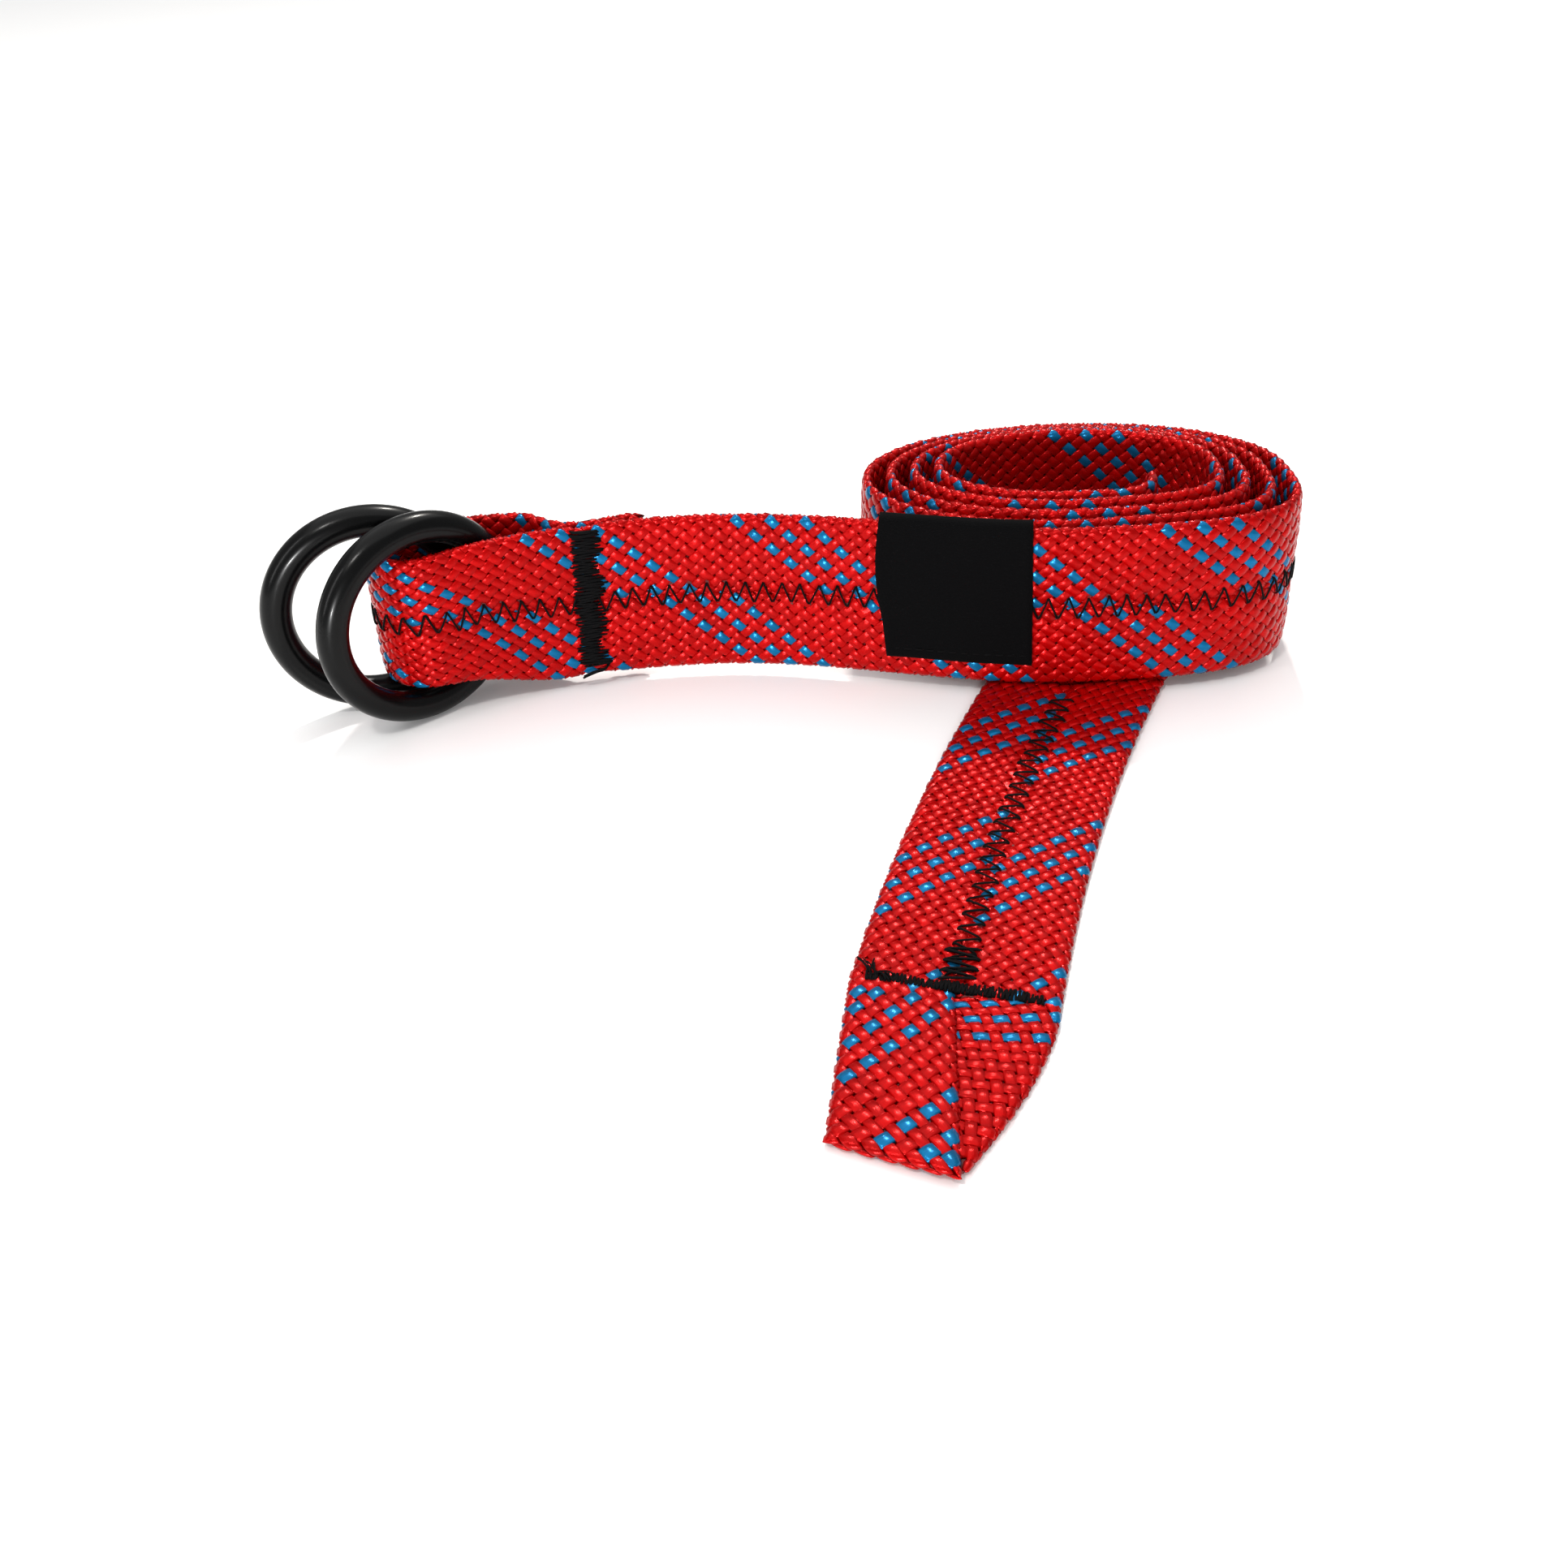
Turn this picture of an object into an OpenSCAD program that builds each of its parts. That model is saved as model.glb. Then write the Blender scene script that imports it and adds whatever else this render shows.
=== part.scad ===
// Ring belt made from an emptied climbing-rope sheath: the flattened sheath lies double, side by side,
// sewn edge to edge, looped round two rings at one end and rolled up standing on its edge.
// Millimetres, +Z up, origin under the middle of the bounding box, the viewer's side at -Y.

/* [Strap] */
// Width of the strap: two flattened sheaths side by side
strap_w = 35; // [28:1:42]
// Thickness of one flattened sheath
strap_t = 2.6; // [2:0.1:3.2]
// Free space between a face and what lies against it
lay_gap = 0.3; // [0.2:0.05:0.4]

/* [Coil] */
// Length of the rolled coil over its outer turn
coil_len = 92.5; // [80:0.5:106]
// Depth of the rolled coil over its outer turn
coil_dep = 63.5; // [56:0.5:70]
// Number of whole turns
turns = 4; // [4:1:4]
// Free space between the turns at the round ends
end_space = 2.6; // [1:0.1:3]
// Free space between the turns at the front and back
side_space = 0.8; // [0.7:0.05:1]
// How much higher each turn stands than the one outside it
turn_rise = 0.8; // [0:0.1:1.2]
// Squareness of the front right corner
corner_power = 3.4; // [2.2:0.1:4]

/* [Buckle run] */
// Distance from the coil's middle to the crest of the run
run_len = 80; // [70:1:96]
// How far the run swings back from the coil's front
run_swing = 15.4; // [10:0.2:18]
// Distance from the crest of the run to where the ring loop starts to turn back
loop_reach = 53; // [48:0.5:58]
// How far the loop's front layer comes forward of the crest there
loop_fall = 13.4; // [11:0.2:14]
// Radius of the loop's round end, to the middle of the strap
loop_r = 10; // [9:0.1:11]
// Distance from the crest of the run to the bar tack at the rings
tack_reach = 24; // [20:1:28]
// Length of the folded-back end past the bar tack
end_past_tack = 11; // [6:1:14]

/* [Rings] */
// Outer diameter of each ring
ring_od = 45.7; // [44:0.1:48]
// Thickness of the ring's round wire
ring_wire = 6.5; // [6:0.1:6.8]
// Angle of the front ring from the run
front_ring_yaw = 40; // [38:1:46]
// Angle of the rear ring from the run
rear_ring_yaw = 19; // [10:1:20]
// Distance between the two rings' swing axes
ring_step = 7.5; // [7.3:0.1:9]

/* [Tail] */
// Length of the loose tail in front of the coil, to its bar tack
tail_len = 99; // [80:1:120]
// Angle of the tail from the coil's front where it leaves
tail_angle = 26; // [20:1:30]
// Bend of the tail over its length, in degrees
tail_bend = 10.5; // [4:0.5:14]
// Length of the folded tip past the bar tack, to its point
tip_len = 38; // [30:1:44]
// Turn of the tip from the tail's line, in degrees
tip_turn = 6.5; // [0:0.5:10]

/* [Label and stitching] */
// Width of the woven label
label_w = 31; // [24:1:34]
// Height of the label's front leaf
label_h = 30; // [26:1:32]
// Thickness of the label
label_t = 0.3; // [0.2:0.05:0.35]
// Width of the zigzag seam
seam_w = 4.6; // [3:0.2:6]
// Thickness of the sewing thread on a face
thread_t = 0.2; // [0.15:0.01:0.25]
// Width of the bar tack at the tip
tip_tack_w = 2.4; // [1.6:0.2:3.5]

/* [Hidden] */
$fn = 64;

half_t = strap_t / 2;
mid_w = strap_w / 2;
red = "crimson";
black = "black";

// The coil's middle, and the oval of its centreline: the outer turn is widest a quarter and three
// quarters of a turn from its start at the front, and deepest at the start and half a turn on
coil_x = 62;
coil_y = 66;
end_pitch = strap_t + end_space;
side_pitch = strap_t + side_space;
half_len = coil_len / 2 - half_t + end_pitch / 2;
half_dep = coil_dep / 2 - half_t + side_pitch / 4;
coil_front = coil_y - half_dep - half_t;
coil_back = coil_front + coil_dep;
// The coil leans back on its back edge, because its front lies on the tail and its seam
tilt = asin((strap_t + thread_t + lay_gap) / coil_dep);

// One centreline in plan runs from the ring loop through the coil to its inner end
STEP_ANGLE = 7.5;
function power(angle) = (angle >= 270 && angle <= 360) ? corner_power : 2.05;
function coil_point(u) = let(
        angle = (270 + u) % 360,
        k = u / 360,
        a = half_len - end_pitch * k,
        b = half_dep - side_pitch * k,
        n = power(angle == 0 ? 360 : angle),
        r = pow(pow(abs(cos(angle)) / a, n) + pow(abs(sin(angle)) / b, n), -1 / n))
    [coil_x + r * cos(angle), coil_y + r * sin(angle)];

// Height of a half cosine from 0 to 1
function ease(s) = (1 - cos(180 * min(1, max(0, s)))) / 2;

// The run in plan: an easy S from the coil's front to the crest, then a growing bow towards the rings
run_y = coil_y - half_dep;
crest = [coil_x - run_len, run_y + run_swing];
loop_bow = 2.2;
function run_y_at(x) = x > crest[0]
    ? run_y + run_swing * ease((coil_x - x) / run_len)
    : crest[1] - loop_fall * pow((crest[0] - x) / loop_reach, loop_bow);

tack_x = crest[0] - tack_reach;
end_x = tack_x + end_past_tack;
fold = [crest[0] - loop_reach, run_y_at(crest[0] - loop_reach)];
fold_slope = atan(loop_bow * loop_fall / loop_reach);
loop_mid = fold + loop_r * [-sin(fold_slope), cos(fold_slope)];
loop_back_y = loop_mid[1] + loop_r;
// The folded-back end lies behind the run, and swings out to the loop's back layer
shoulder = 11;
lying_past_tack = 3;
function end_y_at(x) = let(
        s = ease((tack_x - lying_past_tack - x) / shoulder),
        lying = run_y_at(x) + strap_t + lay_gap)
    lying + (loop_back_y - lying) * s;

PLAN_STEP = 3;
end_count = ceil((end_x - loop_mid[0]) / PLAN_STEP);
end_path = [for (i = [0 : end_count])
    let(x = end_x + (loop_mid[0] - end_x) * i / end_count) [x, end_y_at(x)]];
BIGHT_COUNT = 17;
bight = [for (i = [1 : BIGHT_COUNT - 1]) let(a = 90 + (180 + fold_slope) * i / BIGHT_COUNT)
    loop_mid + loop_r * [cos(a), sin(a)]];
front_count = ceil((tack_x - fold[0]) / PLAN_STEP);
front_path = [for (i = [0 : front_count])
    let(x = fold[0] + (tack_x - fold[0]) * i / front_count) [x, run_y_at(x)]];
run_count = ceil((coil_x - tack_x) / PLAN_STEP);
run_path = [for (i = [1 : run_count - 1]) let(x = tack_x + (coil_x - tack_x) * i / run_count) [x, run_y_at(x)]];
coil_path = [for (u = [0 : STEP_ANGLE : 360 * turns]) coil_point(u)];
inner_end = coil_point(360 * turns);
// The inner end goes on a little and turns back on itself inside the coil
bend_r = 9;
bend_clear = 10.75;
bend_run = half_len - end_pitch * turns - bend_r - bend_clear;
bend_mid = inner_end + [bend_run, bend_r];
bend_out = 0.5;
bend_path = concat([for (a = [270 : 10 : 360]) bend_mid + bend_r * [cos(a), sin(a)]],
    [bend_mid + [bend_r, bend_out]]);
strap = concat(end_path, bight, front_path, run_path, coil_path, bend_path);

loop_start = ceil((end_past_tack + lying_past_tack) / PLAN_STEP);
front_start = len(end_path) + len(bight);
run_start = front_start + front_count;
coil_start = run_start + run_count;
turn_points = 360 / STEP_ANGLE;
bend_start = coil_start + turns * turn_points;
strap_end = len(strap) - 1;

function unit(v) = v / norm(v);
function left_of(v) = [-v[1], v[0]];
function normal_at(i) = left_of(unit(strap[min(i + 1, strap_end)] - strap[max(i - 1, 0)]));
function face(i0, i1, d) = [for (i = [i0 : i1]) strap[i] + d * normal_at(i)];
function reversed(v) = [for (i = [len(v) - 1 : -1 : 0]) v[i]];

// A length of strap between two distances from its centreline, standing on its edge
module band(i0, i1, d0, d1, z0, z1) {
    translate([0, 0, z0])
        linear_extrude(z1 - z0)
            polygon(concat(face(i0, i1, d0), reversed(face(i0, i1, d1))));
}

// Leans what stands in plan back over the coil's back edge
module leaning() {
    translate([0, coil_back, 0])
        rotate([-tilt, 0, 0])
            translate([0, -coil_back, 0])
                children();
}

module upper_run(i0, i1, lift = 0) {
    color(red) leaning() band(i0, i1, -half_t, half_t, lift + mid_w, lift + strap_w);
}

module lower_run(i0, i1, lift = 0) {
    color(red) leaning() band(i0, i1, -half_t, half_t, lift, lift + mid_w);
}

module end_upper() upper_run(0, loop_start);
module end_lower() lower_run(0, loop_start);

// Towards the rings the strap rises off the ground and draws in, until it clears the ring's wire
// above and below where it passes through the hole
hole_r = ring_od / 2 - ring_wire;
pass_offset = 6;
pass_half = sqrt(pow(hole_r, 2) - pow(pass_offset, 2)) - lay_gap;
pass_lift = ring_od / 2 - (coil_back - fold[1]) * sin(tilt);
pass_low = pass_lift - pass_half;
pass_high = pass_lift + pass_half;
end_draw = 1;
wide_x = tack_x - 5;
rise_len = 26;
draw_x = fold[0] + 13;
draw_len = 2.8 * loop_r;
function low_at(x) = pass_low * ease((wide_x - x) / rise_len);
function high_at(x) = strap_w - (strap_w - pass_high + end_draw) * ease((draw_x - x) / draw_len);
function mid_at(x) = (low_at(x) + high_at(x)) / 2;

loop_x = [for (i = [0 : 20]) wide_x + (fold[0] - 2 * loop_r - wide_x) * i / 20];
module loop_part(low_edge, high_edge) {
    outline = concat([[end_x, low_edge[0]]], [for (i = [0 : 20]) [loop_x[i], low_edge[i]]],
        reversed([for (i = [0 : 20]) [loop_x[i], high_edge[i]]]), [[end_x, high_edge[0]]]);
    color(red) leaning() intersection() {
        band(loop_start, run_start, -half_t, half_t, 0, strap_w);
        translate([0, loop_back_y + strap_w, 0])
            rotate([90, 0, 0])
                linear_extrude(3 * strap_w)
                    polygon(outline);
    }
}
module loop_upper() loop_part([for (x = loop_x) mid_at(x)], [for (x = loop_x) high_at(x)]);
module loop_lower() loop_part([for (x = loop_x) low_at(x)], [for (x = loop_x) mid_at(x)]);

module run_upper() upper_run(run_start, coil_start);
module run_lower() lower_run(run_start, coil_start);

module coil_upper(turn) {
    i = coil_start + (turn - 1) * turn_points;
    upper_run(i, i + turn_points, (turn - 1) * turn_rise);
}
module coil_lower(turn) {
    i = coil_start + (turn - 1) * turn_points;
    lower_run(i, i + turn_points, (turn - 1) * turn_rise);
}

bend_lift = (turns - 1) * turn_rise;
module bend_upper() upper_run(bend_start, strap_end, bend_lift);
module bend_lower() lower_run(bend_start, strap_end, bend_lift);

// The tail's centreline: a shallow arc on the ground from under the coil to the tip tack
tail_r = tail_len / (tail_bend * PI / 180);
tail_start = [coil_x - 3.5, coil_front];
function heading(turned) = let(a = 270 - tail_angle + turned) [cos(a), sin(a)];
tail_centre = tail_start + tail_r * left_of(heading(0));
function turned_at(s) = s / tail_r * 180 / PI;
function tail_point(s, side = 0) = tail_centre - (tail_r - side) * left_of(heading(turned_at(s)));
tail_lay = 30;
hinge_s = 10;
hinge_gap = 0.1;
TAIL_STEP = 11;
// A stretch of the flat tail between two distances to the right of its centreline, as the viewer sees it
module tail_strip(s0, s1, side0, side1, z0, z1) {
    count = ceil((s1 - s0) / TAIL_STEP);
    s = [for (i = [0 : count]) s0 + (s1 - s0) * i / count];
    translate([0, 0, z0])
        linear_extrude(z1 - z0)
            polygon(concat([for (v = s) tail_point(v, side0)], reversed([for (v = s) tail_point(v, side1)])));
}
module tail_root_left() color(red) tail_strip(-tail_lay, hinge_s, -mid_w, 0, 0, strap_t);
module tail_root_right() color(red) tail_strip(-tail_lay, hinge_s, 0, mid_w, 0, strap_t);
module tail_left() color(red) tail_strip(hinge_s + hinge_gap, tail_len, -mid_w, 0, 0, strap_t);
module tail_right() color(red) tail_strip(hinge_s + hinge_gap, tail_len, 0, mid_w, 0, strap_t);

// Past the tack the sheath folds back on itself: its left side runs on, its right side slants to the point
tip_dir = heading(tail_bend + tip_turn);
function tip_at(along, side) = tail_point(tail_len) + along * tip_dir + side * left_of(tip_dir);
tip_corner = tip_len - 5.5;
tip_point = [tip_len, 2.5];
tack_end = [tail_point(tail_len, -mid_w), tail_point(tail_len, mid_w)];
module tip_left() {
    color(red) linear_extrude(strap_t)
        polygon([tail_point(tail_len), tack_end[0], tip_at(tip_corner, -mid_w), tip_at(tip_point[0], tip_point[1])]);
}
module tip_right() {
    color(red) linear_extrude(strap_t)
        polygon([tail_point(tail_len), tip_at(tip_point[0], tip_point[1]), tip_at(tip_len * 0.7, mid_w * 0.5),
            tip_at(tip_len * 0.1, mid_w), tack_end[1]]);
}

// The twist carries the strap from standing on its edge inside the coil to lying flat under its front
function lean_point(p, z) = let(y = p[1] - coil_back)
    [p[0], coil_back + y * cos(tilt) + z * sin(tilt), z * cos(tilt) - y * sin(tilt)];
function hermite(p0, m0, p1, m1, s) =
    (2 * pow(s, 3) - 3 * pow(s, 2) + 1) * p0 + (pow(s, 3) - 2 * pow(s, 2) + s) * m0
    + (3 * pow(s, 2) - 2 * pow(s, 3)) * p1 + (pow(s, 3) - pow(s, 2)) * m1;
TWIST_COUNT = 16;
low_pull = 62;
high_pull = 40;
bend_tip = strap[strap_end];
function flat_point(side) = let(p = tail_point(-tail_lay, side)) [p[0], p[1], half_t];
function low_edge(s) = hermite(lean_point(bend_tip, bend_lift), [0, low_pull, 0],
    flat_point(-mid_w), low_pull * concat(heading(turned_at(-tail_lay)), 0), s);
function high_edge(s) = hermite(lean_point(bend_tip, bend_lift + strap_w), [0, high_pull, -high_pull * 0.6],
    flat_point(mid_w), high_pull * concat(heading(turned_at(-tail_lay)), 0), s);
function across(s, w) = low_edge(s) * (1 - w) + high_edge(s) * w;
function twist_normal(s, w) = let(
        along = across(min(1, s + 0.01), w) - across(max(0, s - 0.01), w),
        over = high_edge(s) - low_edge(s))
    unit(cross(along, over));
function twist_ring(s, w0, w1) = [for (c = [[w0, -1], [w1, -1], [w1, 1], [w0, 1]])
    across(s, c[0]) + c[1] * half_t * twist_normal(s, c[0])];
module twist_part(w0, w1) {
    points = [for (i = [0 : TWIST_COUNT]) each twist_ring(i / TWIST_COUNT, w0, w1)];
    last = 4 * TWIST_COUNT;
    color(red) polyhedron(points, concat([[0, 1, 2, 3]],
        [for (i = [0 : TWIST_COUNT - 1]) for (c = [0 : 3])
            let(a = 4 * i + c, b = 4 * i + (c + 1) % 4)
                each (c == 1 ? [[a, a + 4, b + 4], [a, b + 4, b]] : [[a, a + 4, b], [a + 4, b + 4, b]])],
        [[last + 3, last + 2, last + 1, last]]));
}
module twist_upper() twist_part(0.5, 1);
module twist_lower() twist_part(0, 0.5);

// Zigzag seam: its thread as a flat line along the strap's outer face
module seam_thread() {
    low = (strap_w - seam_w) / 2;
    color(black) leaning() {
        band(front_start, coil_start, -half_t - thread_t, -half_t, low, low + seam_w);
        for (turn = [1 : turns]) {
            i = coil_start + (turn - 1) * turn_points;
            lift = (turn - 1) * turn_rise;
            band(i, i + turn_points, -half_t - thread_t, -half_t, lift + low, lift + low + seam_w);
        }
    }
}
module tail_seam_thread() {
    color(black) tail_strip(hinge_s + hinge_gap, tail_len - tip_tack_w, -seam_w / 2, seam_w / 2,
        strap_t, strap_t + thread_t);
}

// Bar tacks: dense stitches across the strap, on its front and on the folded-back end behind it
tack_steps = 1;
end_tack = round(end_past_tack / PLAN_STEP);
tip_tack_in = [3, 5];
module ring_tack() {
    color(black) leaning() {
        band(run_start - tack_steps, run_start + tack_steps, -half_t - 2 * thread_t, -half_t - thread_t, 0, strap_w);
        band(end_tack - tack_steps, end_tack + tack_steps, -half_t - thread_t, -half_t, 0, strap_w);
    }
}
module tip_tack() {
    color(black) tail_strip(tail_len - tip_tack_w, tail_len, -mid_w + tip_tack_in[0], mid_w - tip_tack_in[1],
        strap_t, strap_t + 2 * thread_t);
}

// Label folded over the strap's top edge
label_x = 35.3;
label_i = run_start + round((label_x - tack_x) / (coil_x - tack_x) * run_count);
label_n = round(label_w / PLAN_STEP / 2);
module label() {
    i0 = label_i - label_n;
    i1 = label_i + label_n;
    out = half_t + thread_t + label_t;
    color(black) leaning() {
        band(i0, i1, -out, -half_t - thread_t, strap_w - label_h, strap_w);
        band(i0, i1, half_t, half_t + label_t, strap_w - label_h, strap_w);
        band(i0, i1, -out, half_t + label_t, strap_w, strap_w + label_t);
    }
}
stitch_up = 2;
module label_stitch() {
    low = strap_w - label_h + stitch_up;
    out = half_t + thread_t + label_t;
    color(black) leaning()
        band(label_i - label_n, label_i + label_n, -out - thread_t, -out, low, low + 2 * thread_t);
}

// Rings: the loop holds each one by its wire, at the upright axis it swings about
ring_r = (ring_od - ring_wire) / 2;
wire_bow = 2.55;
ring_back = ring_r - wire_bow;
front_axis = loop_mid + [12.9, 4.3];
rear_axis = front_axis - [ring_step, 0];
module ring(axis, yaw) {
    color(black)
        translate([axis[0] - ring_back * cos(yaw), axis[1] - ring_back * sin(yaw), ring_od / 2])
            rotate([90, 0, yaw])
                rotate_extrude($fn = 96)
                    translate([ring_r, 0]) circle(d = ring_wire, $fn = 32);
}
module front_ring() ring(front_axis, front_ring_yaw);
module rear_ring() ring(rear_axis, rear_ring_yaw);

end_upper();
end_lower();
loop_upper();
loop_lower();
run_upper();
run_lower();
coil_upper(1);  // coil_1_upper
coil_lower(1);  // coil_1_lower
coil_upper(2);  // coil_2_upper
coil_lower(2);  // coil_2_lower
coil_upper(3);  // coil_3_upper
coil_lower(3);  // coil_3_lower
coil_upper(4);  // coil_4_upper
coil_lower(4);  // coil_4_lower
bend_upper();
bend_lower();
twist_upper();
twist_lower();
tail_root_left();
tail_root_right();
tail_left();
tail_right();
tip_left();
tip_right();
seam_thread();
tail_seam_thread();
ring_tack();
tip_tack();
label();
label_stitch();
front_ring();
rear_ring();
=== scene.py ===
"""Ring belt of flattened rope sheath, rolled up on its edge: the looks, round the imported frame."""

import math

import bmesh
import bpy
import numpy as np
from bpy.props import FloatProperty, FloatVectorProperty, IntProperty, PointerProperty
from mathutils import Matrix, Vector


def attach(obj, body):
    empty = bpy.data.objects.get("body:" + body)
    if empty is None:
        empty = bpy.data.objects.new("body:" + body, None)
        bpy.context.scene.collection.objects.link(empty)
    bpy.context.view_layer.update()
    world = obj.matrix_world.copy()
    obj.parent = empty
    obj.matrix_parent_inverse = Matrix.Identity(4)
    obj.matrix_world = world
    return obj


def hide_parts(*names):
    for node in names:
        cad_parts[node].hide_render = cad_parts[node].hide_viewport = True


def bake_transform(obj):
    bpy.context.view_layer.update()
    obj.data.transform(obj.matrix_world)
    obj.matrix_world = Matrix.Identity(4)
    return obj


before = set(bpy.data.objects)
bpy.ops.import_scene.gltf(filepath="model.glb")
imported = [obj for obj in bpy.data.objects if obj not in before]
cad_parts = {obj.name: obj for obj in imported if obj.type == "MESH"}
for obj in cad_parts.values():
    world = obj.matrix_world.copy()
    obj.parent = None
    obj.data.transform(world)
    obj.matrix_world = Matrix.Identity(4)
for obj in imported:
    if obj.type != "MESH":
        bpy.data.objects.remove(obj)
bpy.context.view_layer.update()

bl_info = {
    "name": "Ring belt of rope sheath",
    "version": (1, 0, 0),
    "blender": (4, 5, 0),
    "location": "3D View > Sidebar > Ring belt",
    "description": "Braided sheath, seam, tacks, label, rings and stage of a rolled ring belt",
    "category": "Object",
}

MM = 0.001

# The strap: two flattened sheaths side by side, as the frame has them
STRAP_W = 35 * MM
STRAP_T = 2.6 * MM
LAY_GAP = 0.3 * MM
THREAD_T = 0.2 * MM
HALF_T = STRAP_T / 2
MID_W = STRAP_W / 2

# The rolled coil
COIL_LEN = 92.5 * MM
COIL_DEP = 63.5 * MM
TURNS = 4
END_PITCH = 5.2 * MM
SIDE_PITCH = 3.4 * MM
TURN_RISE = 0.8 * MM
CORNER_POWER = 3.4
ROUND_POWER = 2.05
COIL_X = 62 * MM
COIL_Y = 66 * MM
HALF_LEN = COIL_LEN / 2 - HALF_T + END_PITCH / 2
HALF_DEP = COIL_DEP / 2 - HALF_T + SIDE_PITCH / 4
COIL_FRONT = COIL_Y - HALF_DEP - HALF_T
COIL_BACK = COIL_FRONT + COIL_DEP
TILT = math.asin((STRAP_T + THREAD_T + LAY_GAP) / COIL_DEP)
BEND_R = 9 * MM
BEND_RUN = 7 * MM

# The run to the rings, and the loop that holds them
RUN_Y = COIL_Y - HALF_DEP
RUN_LEN = 80 * MM
RUN_SWING = 15.4 * MM
CREST_X = COIL_X - RUN_LEN
CREST_Y = RUN_Y + RUN_SWING
LOOP_REACH = 53 * MM
LOOP_FALL = 13.4 * MM
LOOP_BOW = 2.2
LOOP_R = 10 * MM
TACK_X = CREST_X - 24 * MM
END_X = TACK_X + 11 * MM
FOLD_X = CREST_X - LOOP_REACH
FOLD_Y = CREST_Y - LOOP_FALL
FOLD_SLOPE = math.atan(LOOP_BOW * LOOP_FALL / LOOP_REACH)
LOOP_X = FOLD_X - LOOP_R * math.sin(FOLD_SLOPE)
LOOP_Y = FOLD_Y + LOOP_R * math.cos(FOLD_SLOPE)
SHOULDER = 11 * MM
LYING_PAST_TACK = 3 * MM

# Where the loop's edges draw in to pass through the rings
RING_OD = 45.7 * MM
RING_WIRE = 6.5 * MM
HOLE_R = RING_OD / 2 - RING_WIRE
PASS_OFFSET = 6 * MM
PASS_HALF = math.sqrt(HOLE_R**2 - PASS_OFFSET**2) - LAY_GAP
PASS_LIFT = RING_OD / 2 - (COIL_BACK - FOLD_Y) * math.sin(TILT)
END_DRAW = 1 * MM
WIDE_X = TACK_X - 5 * MM
RISE_LEN = 26 * MM
DRAW_X = FOLD_X + 13 * MM
DRAW_LEN = 2.8 * LOOP_R

# The loose tail in front of the coil, and its folded tip
TAIL_LEN = 99 * MM
TAIL_ANGLE = 26
TAIL_BEND = 10.5
TAIL_LAY = 30 * MM
HINGE_AT = 10 * MM
TAIL_R = TAIL_LEN / math.radians(TAIL_BEND)
TAIL_START = np.array([COIL_X - 3.5 * MM, COIL_FRONT])
TIP_LEN = 38 * MM
TIP_TURN = 6.5
LOW_PULL = 62 * MM
HIGH_PULL = 40 * MM

# The label
LABEL_X = 35.3 * MM

# The cloth's cross-section and how finely it is made
STEP = 1 * MM
SECTION_POWER = 2.7
CLOTH_HALF_T = 0.92 * MM
CLOTH_STEP = 3 * MM
CLOTH_ROUND = 20
EDGE_INSET = 0.32 * MM
SEAM_LAP = 0.15 * MM
WELD = 0.001 * MM

# One float of a yarn: how it arches along, how flat it is across, how it narrows to its ends
ARCH_POWER = 2.1
ARCH_FALL = 1.3
LEVEL_POWER = 4.5
LEVEL_FALL = 0.95
ROUND_SPREAD = 0.6
TAPER = 0.24
SKIRT = 0.12
FLOAT_SHIFT = 0.05 * MM
FLOAT_TURN = 0.02

# The marker yarns, and how the braid lies on the lower and the upper half: its phase in leads and its turn in
# yarns, on the run and then on the tail
MARKERS = (0, 2, 4)
LAYS = (((0.323, 0.75), (0.667, 0.375)), ((0.677, 0.5), (0.635, 0.375)))

# Where the tail's pieces take over from the strap's
JOIN_BEFORE = 7 * MM

# The folded tip
TIP_MARKERS = (0, 2, 4, 5, 7)
TIP_LAY = (0.56, 0.375)
TIP_BRAID_TURN = -72
TIP_ROWS = (-10, -8, -6)
TIP_RISE = 0.7 * MM
TIP_SHORT = 5.5 * MM
RIDGE_LEAN = 2.5 * MM
END_ROUND = 1.5 * MM
POINT_TRIM = 2.3 * MM
POINT_CLOTH_TRIM = 1.5 * MM
PATCH_REACH = 20

# The zigzag seam
SEAM_RISE = 1.38 * MM
UNDER_RISE = SEAM_RISE - 0.3 * MM
SEAM_END_GAP = 2.5 * MM
DENSE_LEN = 9 * MM
NEEDLE_REACH = 0.8 * MM
NEEDLE_DEPTH = 0.5 * MM

# The bar tacks, and how the ring tack draws the strap together
RING_TACK_W = 5.7 * MM
RING_TACK_PITCH = 0.38 * MM
RING_TACK_SPAN = (-MID_W + 2.8 * MM, MID_W - 1.2 * MM)
TIP_TACK_W = 3.5 * MM
TIP_TACK_PITCH = 0.36 * MM
TIP_TACK_SPAN = (-MID_W + 3 * MM, MID_W - 3.2 * MM)
RING_TACK_SLANT = -0.03
RAGGED_STEP = 9 * MM
SWELL = 0.9 * MM
TACK_DRAW = 4 * MM
TACK_PINCH = 0.6 * MM
TACK_THIN = 0.2
FRAYS = 12

# The ring tack's loose threads in millimetres: along from the tack, up from the middle, out from the cloth
TACK_TAILS = (
    ((2.6, -15, 1.0), (2.2, -15.8, 2.0), (-0.5, -16.2, 1.7), (-3.2, -17.4, 1.3)),
    ((3.0, -14.6, 1.0), (2.5, -15.3, 2.1), (0, -15.7, 1.9), (-3.0, -16.9, 1.5)),
)

# The label's shape
LABEL_SHIFT = 0.9 * MM
LABEL_BULGE = 0.9 * MM
LABEL_LEAN = 1.7 * MM
LABEL_SPREAD = 1.1 * MM
ROW_GAP = 2.4 * MM

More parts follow.
